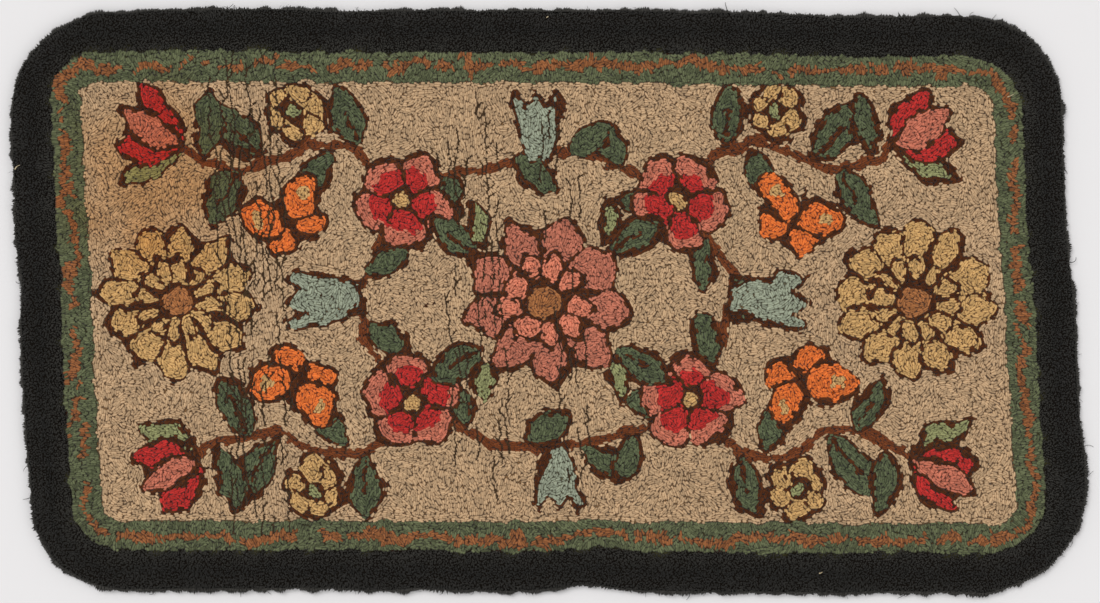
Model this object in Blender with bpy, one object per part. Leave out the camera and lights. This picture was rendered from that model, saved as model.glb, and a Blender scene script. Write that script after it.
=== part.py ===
"""A small oblong hooked rug, lying flat with its pile up, as one solid.

Metres, +Z up. The length runs along X, the width along Y, and the underside is at Z = 0.
The plan is a slightly leaning oblong with four unlike round corners and an uneven edge.
Across the rug, from the edge inwards, come a crowned border of cut pile, a worked band of
low loops and the field. The solid follows their heights, and the swells of the field.
"""

import math
from collections import namedtuple

import bmesh
import bpy
from mathutils import Matrix, Vector, noise

# Sizes across the rug, from its edge inwards
BORDER_WIDTH = 0.048
BAND_WIDTH = 0.034
SMALL_CORNERS_INSET = 0.150
LAST_FIELD_INSET = 0.318

# Heights above the floor
EDGE_HEIGHT = 0.0055
CROWN_HEIGHT = 0.0130
GROOVE_HEIGHT = 0.0078
BAND_HEIGHT = 0.0096
FIELD_HEIGHT = 0.0088

# Points along the plan
ARC_STEPS = 10
LONG_STEPS = 58
SHORT_STEPS = 32

# The corners where the straight sides would meet, going round from the near left one,
# with the radius of the rug's edge, of the border's inner side and of the band's there
Corner = namedtuple("Corner", "x y edge_radius border_radius band_radius")
CORNERS = (
    Corner(x=-0.592, y=-0.333, edge_radius=0.108, border_radius=0.057, band_radius=0.018),
    Corner(x=0.629, y=-0.337, edge_radius=0.126, border_radius=0.065, band_radius=0.020),
    Corner(x=0.590, y=0.332, edge_radius=0.111, border_radius=0.069, band_radius=0.023),
    Corner(x=-0.627, y=0.338, edge_radius=0.122, border_radius=0.054, band_radius=0.014),
)
INNER_RADIUS = 0.010

# The sides that follow those corners: how far each bulges, and a hollow worn into it
Side = namedtuple("Side", "bulge steps hollow_at hollow_reach hollow_depth")
SIDES = (
    Side(bulge=-0.001, steps=LONG_STEPS, hollow_at=0.54, hollow_reach=0.040, hollow_depth=0.007),
    Side(bulge=-0.002, steps=SHORT_STEPS, hollow_at=0.70, hollow_reach=0.060, hollow_depth=0.003),
    Side(bulge=0.005, steps=LONG_STEPS, hollow_at=0.14, hollow_reach=0.070, hollow_depth=0.003),
    Side(bulge=0.004, steps=SHORT_STEPS, hollow_at=0.43, hollow_reach=0.030, hollow_depth=0.005),
)

# Unevenness of the edge, coarse to fine, as noise of this pitch and height
Wave = namedtuple("Wave", "pitch height layer")
EDGE_WAVES = (
    Wave(pitch=0.110, height=0.0026, layer=1.5),
    Wave(pitch=0.042, height=0.0017, layer=7.5),
    Wave(pitch=0.020, height=0.0013, layer=13.5),
)
EDGE_WAVE_REACH = 0.120

# Unevenness of the height, for the pile of the border and for the loops
BORDER_LUMPS = (
    Wave(pitch=0.060, height=0.0010, layer=21.5),
    Wave(pitch=0.024, height=0.0009, layer=27.5),
)
LOOP_LUMPS = (
    Wave(pitch=0.090, height=0.0007, layer=33.5),
    Wave(pitch=0.036, height=0.0004, layer=39.5),
)

# Low swells across the field, left by rolling the rug up
Swell = namedtuple("Swell", "x reach height lean")
SWELLS = (
    Swell(x=-0.330, reach=0.040, height=0.0011, lean=-0.04),
    Swell(x=-0.080, reach=0.030, height=0.0007, lean=-0.05),
    Swell(x=0.120, reach=0.045, height=0.0006, lean=-0.05),
    Swell(x=0.340, reach=0.040, height=0.0008, lean=-0.06),
)

# The rings that make the skin, from the underside's rim over the edge to the field
Ring = namedtuple("Ring", "inset height yarn")
SKIN = (
    Ring(inset=0.0060, height=0.0, yarn="black"),
    Ring(inset=0.0016, height=0.0022, yarn="black"),
    Ring(inset=0.0, height=EDGE_HEIGHT, yarn="black"),
    Ring(inset=0.0018, height=0.0092, yarn="black"),
    Ring(inset=0.0070, height=0.0117, yarn="black"),
    Ring(inset=0.0170, height=CROWN_HEIGHT, yarn="black"),
    Ring(inset=0.0310, height=CROWN_HEIGHT, yarn="black"),
    Ring(inset=0.0420, height=0.0112, yarn="black"),
    Ring(inset=BORDER_WIDTH, height=GROOVE_HEIGHT, yarn="green"),
    Ring(inset=BORDER_WIDTH + 0.0060, height=0.0092, yarn="green"),
    Ring(inset=BORDER_WIDTH + BAND_WIDTH / 2, height=BAND_HEIGHT, yarn="green"),
    Ring(inset=BORDER_WIDTH + BAND_WIDTH - 0.0050, height=0.0092, yarn="green"),
    Ring(inset=BORDER_WIDTH + BAND_WIDTH, height=GROOVE_HEIGHT + 0.0004, yarn="tan"),
    Ring(inset=BORDER_WIDTH + BAND_WIDTH + 0.0060, height=FIELD_HEIGHT, yarn="tan"),
)
FIELD_RINGS = 6

# What each yarn looks like: colour and roughness
Yarn = namedtuple("Yarn", "colour roughness")
YARNS = {
    "black": Yarn(colour=(0.013, 0.013, 0.012), roughness=0.95),
    "green": Yarn(colour=(0.085, 0.105, 0.050), roughness=0.90),
    "tan": Yarn(colour=(0.400, 0.290, 0.170), roughness=0.90),
}


def clear_scene():
    for item in list(bpy.data.objects):
        bpy.data.objects.remove(item, do_unlink=True)


def yarn_material(name):
    yarn = YARNS[name]
    material = bpy.data.materials.new(f"{name}_wool")
    material.use_nodes = True
    shader = material.node_tree.nodes["Principled BSDF"]
    shader.inputs["Base Color"].default_value = (*yarn.colour, 1.0)
    shader.inputs["Roughness"].default_value = yarn.roughness
    shader.inputs["Metallic"].default_value = 0.0
    return material


def rolling(waves, x, y):
    """The sum of the waves' noise at a place in the plan."""
    return sum(
        wave.height * noise.noise((x / wave.pitch, y / wave.pitch, wave.layer))
        for wave in waves
    )


def between(value, low, high, at_low, at_high):
    """A straight blend from at_low to at_high, held outside low and high."""
    share = min(max((value - low) / (high - low), 0.0), 1.0)
    return at_low + (at_high - at_low) * share


def corner_radius(corner, inset):
    """The plan's radius at a corner, this far in from the edge."""
    band_inset = BORDER_WIDTH + BAND_WIDTH
    if inset <= BORDER_WIDTH:
        return between(inset, 0.0, BORDER_WIDTH, corner.edge_radius, corner.border_radius)
    if inset <= band_inset:
        return between(inset, BORDER_WIDTH, band_inset, corner.border_radius, corner.band_radius)
    return between(inset, band_inset, SMALL_CORNERS_INSET, corner.band_radius, INNER_RADIUS)


def corner_arc(index, inset):
    """The points of one round corner, this far in from the edge."""
    corner = CORNERS[index]
    here = Vector((corner.x, corner.y))
    before, after = CORNERS[index - 1], CORNERS[(index + 1) % len(CORNERS)]
    back = (Vector((before.x, before.y)) - here).normalized()
    ahead = (Vector((after.x, after.y)) - here).normalized()
    inwards = (back + ahead).normalized()
    half_angle = back.angle(ahead) / 2
    radius = corner_radius(corner, inset)
    centre = here + inwards * (inset + radius) / math.sin(half_angle)
    turn = math.pi - 2 * half_angle
    first = math.atan2(-inwards.y, -inwards.x) - turn / 2
    angles = [first + turn * step / ARC_STEPS for step in range(ARC_STEPS + 1)]
    return [centre + radius * Vector((math.cos(a), math.sin(a))) for a in angles]


def side_bulge(side, share, length):
    """How far a side stands out from its straight line, at this share of its length."""
    bulge = side.bulge * 4 * share * (1 - share)
    away = (share - side.hollow_at) * length / side.hollow_reach
    return bulge - side.hollow_depth * math.exp(-away * away)


def straight_ring(inset):
    """The plan's points and outward bulges, this far in, before the edge's unevenness."""
    arcs = [corner_arc(index, inset) for index in range(len(CORNERS))]
    points, bulges = [], []
    for index, side in enumerate(SIDES):
        start, end = arcs[index][-1], arcs[(index + 1) % len(arcs)][0]
        points += arcs[index]
        bulges += [0.0] * len(arcs[index])
        for step in range(1, side.steps):
            share = step / side.steps
            points.append(start.lerp(end, share))
            bulges.append(side_bulge(side, share, (end - start).length))
    return points, bulges


def plan_ring(inset):
    """The uneven outline of the rug, this far in from its edge."""
    points, bulges = straight_ring(inset)
    rim, _ = straight_ring(0.0)
    fade = between(inset, 0.0, EDGE_WAVE_REACH, 1.0, 0.0)
    ring = []
    for number, point in enumerate(points):
        step = points[(number + 1) % len(points)] - points[number - 1]
        outwards = Vector((step.y, -step.x)).normalized()
        moved = bulges[number] + rolling(EDGE_WAVES, rim[number].x, rim[number].y)
        ring.append(point + outwards * moved * fade)
    return ring


def swell_height(x, y):
    return sum(
        swell.height * math.exp(-(((x - swell.x - swell.lean * y) / swell.reach) ** 2))
        for swell in SWELLS
    )


def surface_height(ring, x, y):
    """The height of a point of the skin, with its lumps; the underside stays flat."""
    if ring.height == 0.0:
        return 0.0
    if ring.yarn == "black":
        return ring.height + rolling(BORDER_LUMPS, x, y) * ring.height / CROWN_HEIGHT
    return ring.height + rolling(LOOP_LUMPS, x, y) + swell_height(x, y)


def field_rings():
    """The rings between the band and the middle of the field."""
    first = SKIN[-1].inset
    gap = (LAST_FIELD_INSET - first) / FIELD_RINGS
    return [
        Ring(inset=first + gap * (number + 1), height=FIELD_HEIGHT, yarn="tan")
        for number in range(FIELD_RINGS)
    ]


def add_ring(shape, ring):
    """Adds one ring's vertices, in order round the rug."""
    return [
        shape.verts.new((point.x, point.y, surface_height(ring, point.x, point.y)))
        for point in plan_ring(ring.inset)
    ]


def join_rings(shape, outer, inner, slot):
    """The strip of faces between two rings that follow each other."""
    for number in range(len(outer)):
        after = (number + 1) % len(outer)
        face = shape.faces.new((outer[number], outer[after], inner[after], inner[number]))
        face.material_index = slot
        face.smooth = True


def close_middle(shape, ring, slot):
    """Joins the two long sides of the last, narrow ring across the middle of the field."""
    near = ring[ARC_STEPS : ARC_STEPS + LONG_STEPS + 1]
    first_far = ARC_STEPS + LONG_STEPS + ARC_STEPS + SHORT_STEPS + ARC_STEPS
    far = ring[first_far : first_far + LONG_STEPS + 1][::-1]
    for number in range(LONG_STEPS):
        across = (near[number], near[number + 1], far[number + 1], far[number])
        face = shape.faces.new(across)
        face.material_index = slot
        face.smooth = True
    right_end = ring[ARC_STEPS + LONG_STEPS : first_far + 1]
    left_end = ring[first_far + LONG_STEPS :] + ring[: ARC_STEPS + 1]
    for end in (right_end, left_end):
        shape.faces.new(end).material_index = slot


def build_rug():
    """The whole rug as one closed mesh, centred over its own box and resting on Z = 0."""
    names = list(YARNS)
    rings = list(SKIN) + field_rings()
    shape = bmesh.new()
    loops = [add_ring(shape, ring) for ring in rings]
    for number in range(len(rings) - 1):
        slot = names.index(rings[number].yarn)
        join_rings(shape, loops[number], loops[number + 1], slot)
    close_middle(shape, loops[-1], names.index(rings[-1].yarn))
    shape.faces.new(loops[0][::-1]).material_index = names.index("black")
    bmesh.ops.recalc_face_normals(shape, faces=shape.faces)
    lowest = [min(v.co[axis] for v in shape.verts) for axis in range(2)]
    highest = [max(v.co[axis] for v in shape.verts) for axis in range(2)]
    middle = [(low + high) / 2 for low, high in zip(lowest, highest)]
    shape.transform(Matrix.Translation((-middle[0], -middle[1], 0.0)))
    mesh = bpy.data.meshes.new("hooked_rug")
    shape.to_mesh(mesh)
    shape.free()
    for name in names:
        mesh.materials.append(yarn_material(name))
    return bpy.data.objects.new("hooked_rug", mesh)


def main():
    clear_scene()
    collection = bpy.data.collections.new("hooked_rug")
    bpy.context.scene.collection.children.link(collection)
    collection.objects.link(build_rug())


main()
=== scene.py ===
import math
import random

import bpy
import numpy as np
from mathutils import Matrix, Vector, noise
from mathutils.bvhtree import BVHTree


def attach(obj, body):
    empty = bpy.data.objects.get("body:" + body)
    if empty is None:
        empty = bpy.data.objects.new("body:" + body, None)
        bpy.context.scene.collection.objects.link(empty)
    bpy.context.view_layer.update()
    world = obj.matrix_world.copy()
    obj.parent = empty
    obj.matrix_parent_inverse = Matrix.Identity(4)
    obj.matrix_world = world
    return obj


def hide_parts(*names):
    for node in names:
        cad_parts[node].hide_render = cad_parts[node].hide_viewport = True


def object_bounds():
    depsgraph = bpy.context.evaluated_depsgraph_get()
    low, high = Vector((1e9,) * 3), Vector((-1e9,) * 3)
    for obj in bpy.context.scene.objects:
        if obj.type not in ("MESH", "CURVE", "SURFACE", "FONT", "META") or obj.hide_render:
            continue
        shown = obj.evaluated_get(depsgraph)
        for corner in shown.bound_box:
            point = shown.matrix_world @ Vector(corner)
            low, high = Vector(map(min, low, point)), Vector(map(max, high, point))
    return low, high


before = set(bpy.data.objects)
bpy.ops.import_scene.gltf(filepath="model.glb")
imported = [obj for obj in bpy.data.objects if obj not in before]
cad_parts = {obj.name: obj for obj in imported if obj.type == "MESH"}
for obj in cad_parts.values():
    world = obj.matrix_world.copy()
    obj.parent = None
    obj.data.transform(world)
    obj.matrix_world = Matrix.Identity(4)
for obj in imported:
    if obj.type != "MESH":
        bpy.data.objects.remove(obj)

mm = 0.001
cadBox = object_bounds()
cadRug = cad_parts["hooked_rug"]
chance = np.random.default_rng(48)
dice = random.Random(26)


# Small helpers

def deselect():
    for item in bpy.context.selected_objects:
        item.select_set(False)


# sRGB from 0 to 255 as the linear colour that a shader takes
def linear(colour):
    parts = [part / 255 for part in colour]
    return tuple(part / 12.92 if part < 0.04 else ((part + 0.055) / 1.055) ** 2.4 for part in parts)


def between(value, low, high, atLow, atHigh):
    share = np.clip((value - low) / (high - low), 0, 1)
    return atLow + (atHigh - atLow) * share


# A mesh object from an array of points and arrays of faces, each of one number of corners
def shapeFromArrays(name, points, faces, smooth=True):
    mesh = bpy.data.meshes.new(name)
    mesh.vertices.add(len(points))
    mesh.vertices.foreach_set("co", np.asarray(points, np.float32).ravel())
    corners = np.concatenate([part.ravel() for part in faces]).astype(np.int32)
    sizes = np.concatenate([np.full(len(part), part.shape[1]) for part in faces])
    mesh.loops.add(len(corners))
    mesh.loops.foreach_set("vertex_index", corners)
    mesh.polygons.add(len(sizes))
    starts = np.concatenate([[0], np.cumsum(sizes)[:-1]]).astype(np.int32)
    mesh.polygons.foreach_set("loop_start", starts)
    mesh.polygons.foreach_set("use_smooth", np.full(len(sizes), smooth))
    mesh.update(calc_edges=True)
    mesh.validate()
    shape = bpy.data.objects.new(name, mesh)
    bpy.context.scene.collection.objects.link(shape)
    return shape


def addValues(shape, name, values):
    mesh = shape.data
    kept = mesh.attributes.new(name, "FLOAT", "POINT")
    kept.data.foreach_set("value", np.asarray(values, np.float32))


mapMargin = 1.05    # the flat map reaches a little past the rug


# A flat map from above, so that a baked picture keeps the rug's own layout
def addTopMap(shape):
    mesh = shape.data
    low, high = (np.array(corner) for corner in cadBox)
    side = (high - low).max() * mapMargin
    points = np.empty(len(mesh.vertices) * 3, np.float32)
    mesh.vertices.foreach_get("co", points)
    points = points.reshape(-1, 3)
    corners = np.empty(len(mesh.loops), np.int32)
    mesh.loops.foreach_get("vertex_index", corners)
    spots = (points[corners, :2] - (low + high)[:2] / 2) / side + 0.5
    mesh.uv_layers.new(name="OFBake").data.foreach_set("uv", spots.astype(np.float32).ravel())


# A piece of loops, tufts or threads, with the values that its material reads
def buildPiece(name, points, faces, smooth=True, **values):
    shape = shapeFromArrays(name, points, faces, smooth)
    for label, numbers in values.items():
        addValues(shape, label, numbers)
    addTopMap(shape)
    return shape


# A primitive's points, and its faces by their number of corners. The primitive itself goes
def takenApart(shape, cornerCounts):
    points = np.array([tuple(vertex.co) for vertex in shape.data.vertices])
    faces = [tuple(face.vertices) for face in shape.data.polygons]
    bpy.data.objects.remove(shape, do_unlink=True)
    return points, *(np.array([face for face in faces if len(face) == count]) for count in cornerCounts)


# The rug's plan, as its maker drew it on the foundation

rugPlan = {
    "borderWidth": 48 * mm,
    "bandWidth": 34 * mm,
    "innerRadius": 10 * mm,
    "smallCornersInset": 150 * mm,
    "edgeWaveReach": 120 * mm,
    # x, y, then the radius of the edge, of the border's inner side and of the band's
    "corners": [
        (-0.592, -0.333, 0.108, 0.057, 0.018),
        (0.629, -0.337, 0.126, 0.065, 0.020),
        (0.590, 0.332, 0.111, 0.069, 0.023),
        (-0.627, 0.338, 0.122, 0.054, 0.014),
    ],
    # bulge, then where a hollow lies along the side, its reach and its depth
    "sides": [
        (-0.001, 0.54, 0.040, 0.007),
        (-0.002, 0.70, 0.060, 0.003),
        (0.005, 0.14, 0.070, 0.003),
        (0.004, 0.43, 0.030, 0.005),
    ],
    # pitch, height and layer of the edge's unevenness
    "edgeWaves": [(0.110, 0.0026, 1.5), (0.042, 0.0017, 7.5), (0.020, 0.0013, 13.5)],
    "arcSteps": 20,
    "longSteps": 110,
    "shortSteps": 60,
}


def cornerRadius(corner, inset):
    plan = rugPlan
    borderInset = plan["borderWidth"]
    bandInset = borderInset + plan["bandWidth"]
    if inset <= borderInset:
        return float(between(inset, 0, borderInset, corner[2], corner[3]))
    if inset <= bandInset:
        return float(between(inset, borderInset, bandInset, corner[3], corner[4]))
    return float(between(inset, bandInset, plan["smallCornersInset"], corner[4], plan["innerRadius"]))


def cornerArc(index, inset):
    corners = rugPlan["corners"]
    corner = corners[index]
    here = Vector(corner[:2])
    back = (Vector(corners[index - 1][:2]) - here).normalized()
    ahead = (Vector(corners[(index + 1) % 4][:2]) - here).normalized()
    inwards = (back + ahead).normalized()
    halfAngle = back.angle(ahead) / 2
    radius = cornerRadius(corner, inset)
    centre = here + inwards * (inset + radius) / math.sin(halfAngle)
    turn = math.pi - 2 * halfAngle
    first = math.atan2(-inwards.y, -inwards.x) - turn / 2
    steps = rugPlan["arcSteps"]
    angles = [first + turn * step / steps for step in range(steps + 1)]
    return [centre + radius * Vector((math.cos(angle), math.sin(angle))) for angle in angles]


def straightRing(inset):
    arcs = [cornerArc(index, inset) for index in range(4)]
    points, bulges = [], []
    for index, (bulge, hollowAt, hollowReach, hollowDepth) in enumerate(rugPlan["sides"]):
        start, end = arcs[index][-1], arcs[(index + 1) % 4][0]
        length = (end - start).length
        points += arcs[index]
        bulges += [0.0] * len(arcs[index])
        steps = rugPlan["shortSteps" if index % 2 else "longSteps"]
        for step in range(1, steps):
            share = step / steps
            away = (share - hollowAt) * length / hollowReach
            points.append(start.lerp(end, share))
            bulges.append(bulge * 4 * share * (1 - share) - hollowDepth * math.exp(-away * away))
    return points, bulges


rimPoints = straightRing(0.0)[0]


# The uneven outline of the rug this far in from its edge, before the rug is centred
def planRing(inset):
    points, bulges = straightRing(inset)
    fade = float(between(inset, 0, rugPlan["edgeWaveReach"], 1, 0))
    ring = []
    for number, point in enumerate(points):
        step = points[(number + 1) % len(points)] - points[number - 1]
        outwards = Vector((step.y, -step.x)).normalized()
        rim = rimPoints[number]
        moved = bulges[number] + sum(
            height * noise.noise((rim.x / pitch, rim.y / pitch, layer))
            for pitch, height, layer in rugPlan["edgeWaves"]
        )
        ring.append(point + outwards * moved * fade)
    return np.array([tuple(point) for point in ring])


outline = planRing(0.0)
planShift = -(outline.min(0) + outline.max(0)) / 2
outline = outline + planShift


# Pictures of the rug seen from above, as arrays with a fixed step

class Raster:
    def __init__(self, step, margin=16 * mm):
        low, high = (np.array(corner)[:2] for corner in cadBox)
        self.step = step
        self.low = low - margin
        self.shape = tuple(int(side) for side in np.ceil((high - low + 2 * margin) / step)[::-1])
        down, across = np.indices(self.shape)
        self.x = self.low[0] + (across + 0.5) * step
        self.y = self.low[1] + (down + 0.5) * step

    # The picture's value at each place, blended from the four cells round it
    def read(self, picture, x, y):
        across = np.clip((x - self.low[0]) / self.step - 0.5, 0, self.shape[1] - 1.001)
        down = np.clip((y - self.low[1]) / self.step - 0.5, 0, self.shape[0] - 1.001)
        column, row = across.astype(int), down.astype(int)
        across, down = across - column, down - row
        upper = picture[row, column] * (1 - across) + picture[row, column + 1] * across
        lower = picture[row + 1, column] * (1 - across) + picture[row + 1, column + 1] * across
        return upper * (1 - down) + lower * down

    # The row and the column of the cell at one place
    def cell(self, x, y):
        return int((y - self.low[1]) / self.step), int((x - self.low[0]) / self.step)

    # The rows and the columns of the cells at many places
    def cells(self, places):
        across, down = np.moveaxis((places - self.low) / self.step, -1, 0).astype(int)
        return down, across

    # The picture smoothed by a bell curve of this reach
    def blurred(self, picture, reach):
        rows = np.fft.fftfreq(self.shape[0], self.step)[:, None]
        columns = np.fft.rfftfreq(self.shape[1], self.step)[None, :]
        bell = np.exp(-2 * (math.pi * reach) ** 2 * (rows**2 + columns**2))
        return np.fft.irfft2(np.fft.rfft2(picture) * bell, s=self.shape)

    # Smooth seeded noise of about this pitch, with a spread of 1
    def unevenness(self, pitch, layer):
        reach = pitch / 2.6     # of the bell that leaves bumps of this pitch
        grain = self.blurred(np.random.default_rng(layer).normal(size=self.shape), reach)
        return grain / grain.std()

    # How the smoothed picture rises along x and along y, and how steeply
    def slopes(self, picture, reach):
        down, across = np.gradient(self.blurred(picture, reach))
        return across, down, np.hypot(across, down) + 1e-9


coarse = Raster(2 * mm)
fine = Raster(1 * mm)
finest = Raster(0.5 * mm)


# The height at which a ray from above meets a shape, over the whole raster
def castDown(points, faces, raster, miss):
    tree = BVHTree.FromPolygons(points, faces)
    down = Vector((0, 0, -1))
    found = np.full(raster.shape, miss)
    for row in range(raster.shape[0]):
        y = raster.y[row, 0]
        for column in range(raster.shape[1]):
            hit = tree.ray_cast(Vector((raster.x[row, column], y, 1.0)), down)[0]
            if hit is not None:
                found[row, column] = hit.z
    return found


# How far each place lies in from the rug's edge
def insetPicture():
    steps = [-12 * mm, 0.0] + [step * 12 * mm for step in range(1, 11)] + [0.2, 0.28, 0.32]
    rings = [planRing(step) + planShift for step in steps]
    count = len(rings[0])
    points = [(x, y, step) for ring, step in zip(rings, steps) for x, y in ring]
    faces = []
    for first in range(0, count * (len(rings) - 1), count):
        second = first + count
        for number in range(count):
            after = (number + 1) % count
            faces.append((first + number, first + after, second + after, second + number))
    faces.append(tuple(range(second, second + count)))
    return castDown(points, faces, coarse, -16 * mm)


insets = insetPicture()
cadPoints = [tuple(vertex.co) for vertex in cadRug.data.vertices]
cadFaces = [tuple(face.vertices) for face in cadRug.data.polygons]
tops = castDown(cadPoints, cadFaces, coarse, 0.0)
print("the rug's plan is laid out", flush=True)


# The drawing in the field: a generic one, of ordinary flowers, leaves and butterflies

drawing = {
    "lean": 0.055,
    "shift": 2.5 * mm,
    "wobble": 2.2 * mm,
    "wobblePitch": 34 * mm,
    "ragged": 1.5 * mm,
    "raggedPitch": 7 * mm,
    "outline": 5.8 * mm,
    "outlineSpread": 0.30,
    "outlinePitch": 24 * mm,
    "thinnestOutline": 2.4 * mm,
    "parting": 0.045,       # the widest dark line between two petals, as a share of the flower's radius
    "vine": 10.5 * mm,
    "rib": {"half": 2.3 * mm, "from": 0.1, "to": 0.6, "leastWidth": 41 * mm},
}

# Rings are a flower's yarns from the outside in, each with its reach and whether it is parted into petals
flowers = {
    "middle": {
        "radius": 103 * mm,
        "petals": 9,
        "pointed": True,
        "notch": 0.24,
        "rings": [(1.0, "mauve", True), (0.64, "darkBrown", False), (0.58, "salmon", True)],
        "eye": (19 * mm, "gold"),
    },
    "bigYellow": {
        "radius": 96 * mm,
        "petals": 12,
        "pointed": True,
        "notch": 0.17,
        "rings": [(1.0, "yellow", True), (0.60, "darkBrown", False), (0.55, "yellow", True)],
        "eye": (17 * mm, "gold"),
    },
    "blossom": {
        "radius": 58 * mm,
        "petals": 5,
        "pointed": False,
        "notch": 0.24,
        "rings": [(1.0, "pink", True), (0.74, "red", True)],
        "eye": (9 * mm, "yellow"),
    },
    "smallYellow": {
        "radius": 38 * mm,
        "petals": 6,
        "pointed": False,
        "notch": 0.24,
        "rings": [(1.0, "yellow", True)],
        "eye": (7 * mm, "lightGreen"),
    },
}

wreath = {
    "reach": (0.212, 0.168),
    "waves": 6,
    "swing": 0.030,
    "steps": 48,
    "leaves": 20,
    "leafLean": 0.80,
    "leaf": (66 * mm, 37 * mm),
}

# A quarter of the rest of the drawing. Each figure has its place and its angle in degrees. A leaf then has
# its length and its width, the tulip its length and the butterfly its span
corner = {
    "vine": [(0.160, 0.116), (0.210, 0.172), (0.268, 0.180), (0.325, 0.152), (0.380, 0.158), (0.425, 0.190)],
    "leaves": [
        (0.212, 0.176, 78, 76 * mm, 44 * mm),
        (0.240, 0.176, -62, 74 * mm, 40 * mm),
        (0.316, 0.158, 50, 98 * mm, 48 * mm),
        (0.345, 0.152, -58, 76 * mm, 42 * mm),
        (0.385, 0.164, 100, 84 * mm, 40 * mm),
    ],
    "paleLeaf": (0.408, 0.178, -28, 88 * mm, 40 * mm),
    "tulip": (0.408, 0.180, 28, 84 * mm),
    "blossom": (0.160, 0.116, 20),
    "butterfly": (0.290, 0.092, 62, 106 * mm),
    "smallYellow": (0.278, 0.218, 10),
}

# What lies on the rug's two axes. A bell flower has its distance from the middle and its length
axes = {
    "sideBell": (0.206, 100 * mm),
    "upperBell": (0.160, 86 * mm),
    "bigFlower": (0.424, 0.13),         # its distance and its turn
    "middleTurn": 0.2,
    # beside each upper bell: foot, angle from the axis, length, width and yarn
    "leaves": [
        (0.076, 0.050, 0.9, 78 * mm, 42 * mm, "leafGreen"),
        (0.070, 0.060, 0.2, 60 * mm, 30 * mm, "lightGreen"),
    ],
}

# Proportions of the smaller figures, as shares of their length or span
tulip = {"lean": 0.46, "sideWidth": 0.56, "middleLength": 1.04, "middleWidth": 0.50}
bell = {"half": 0.40, "foot": 0.42, "flare": 0.8, "scallops": 0.27, "scallopDepth": 0.20}
butterfly = {
    # angle from the body, length and width
    "hindWing": (2.15, 0.44, 0.40),
    "frontWing": (1.02, 0.60, 0.46),
    "blunt": 0.6,
    "spot": (0.36, 0.070),              # its place along the front wing, and its radius
    "body": (0.30, 0.66),               # how far behind the middle it starts, and its length
    "bodyWidth": 9 * mm,
}

yarnNames = [
    "none", "tan", "yellow", "darkBrown", "vineBrown", "red", "pink", "salmon", "mauve",
    "lightGreen", "greyBlue", "leafGreen", "orange", "bandGreen", "bandRust", "gold",
]
yarnNumber = {name: number for number, name in enumerate(yarnNames)}


# Coordinates that waver as a hand-drawn line does, first slowly and then finely
def wavered(places, layers):
    for kind, layer in zip(("wobble", "ragged"), layers):
        places = places + drawing[kind] * fine.unevenness(drawing[kind + "Pitch"], layer)
    return places


drawnX = wavered(fine.x + drawing["lean"] * fine.y + drawing["shift"], (3, 21))
drawnY = wavered(fine.y, (4, 22))
yarnMap = np.full(fine.shape, yarnNumber["tan"])
outlineWaver = fine.unevenness(drawing["outlinePitch"], 23)
outlineHere = drawing["outline"] * (1 + drawing["outlineSpread"] * outlineWaver)
outlineHere = np.maximum(outlineHere, drawing["thinnestOutline"])


# The drawing's coordinates from this place, along this angle and across it
def turned(at, angle):
    x, y = drawnX - at[0], drawnY - at[1]
    cos, sin = math.cos(angle), math.sin(angle)
    return x * cos + y * sin, y * cos - x * sin


def paint(yarn, where):
    yarnMap[where] = yarnNumber[yarn]


# A leaf or a petal from its foot, with a dark line round it. A wide leaf has a rib
def paintLeaf(at, angle, length, width, yarn="leafGreen", blunt=0.8):
    along, across = turned(at, angle)
    share = np.clip(along / length, 0, 1)
    half = width / 2 * np.sin(math.pi * share) ** blunt
    line = outlineHere
    inside = (along > 0) & (along < length)
    paint("darkBrown", inside & (np.abs(across) < half))
    body = inside & (np.abs(across) < half - line) & (along > line) & (along < length - line)
    paint(yarn, body)
    rib = drawing["rib"]
    if yarn == "leafGreen" and width > rib["leastWidth"]:
        middle = (np.abs(across) < rib["half"]) & (share > rib["from"]) & (share < rib["to"])
        paint("darkBrown", body & middle)


def paintDisc(at, radius, yarn):
    x, y = turned(at, 0)
    paint(yarn, np.hypot(x, y) < radius)


# A round flower of many petals
def paintFlower(at, turn, flower):
    x, y = turned(at, turn)
    away = np.hypot(x, y)
    petals, radius, notch = flower["petals"], flower["radius"], flower["notch"]
    phase = (np.arctan2(y, x) * petals / (2 * math.pi)) % 1 - 0.5
    if flower["pointed"]:
        edge = radius * (1 - notch * (2 * np.abs(phase)) ** 1.1)
    else:
        edge = radius * (1 - notch + notch * np.sqrt(1 - np.minimum(4 * phase**2, 1)))
    line = outlineHere
    split = (0.5 - np.abs(phase)) * 2 * math.pi / petals * away
    paint("darkBrown", away < edge)
    for reach, yarn, parted in flower["rings"]:
        held = away < (edge - line) * reach
        if parted:
            held &= split > np.minimum(line / 2, radius * drawing["parting"])
        paint(yarn, held)
    eyeRadius, eyeYarn = flower["eye"]
    paint("darkBrown", away < eyeRadius + line)
    paint(eyeYarn, away < eyeRadius)


# A winding stem through these places
def paintVine(points):
    knots = [Vector(point) for point in points]
    knots = [2 * knots[0] - knots[1]] + knots + [2 * knots[-1] - knots[-2]]
    for first, second, third, fourth in zip(knots, knots[1:], knots[2:], knots[3:]):
        steps = max(2, int((third - second).length / (2 * mm)))
        for step in range(steps + 1):
            share = step / steps
            spot = 0.5 * (
                2 * second
                + (third - first) * share
                + (2 * first - 5 * second + 4 * third - fourth) * share**2
                + (3 * second - first - 3 * third + fourth) * share**3
            )
            stampDisc(spot, drawing["vine"] / 2, "vineBrown")


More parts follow.
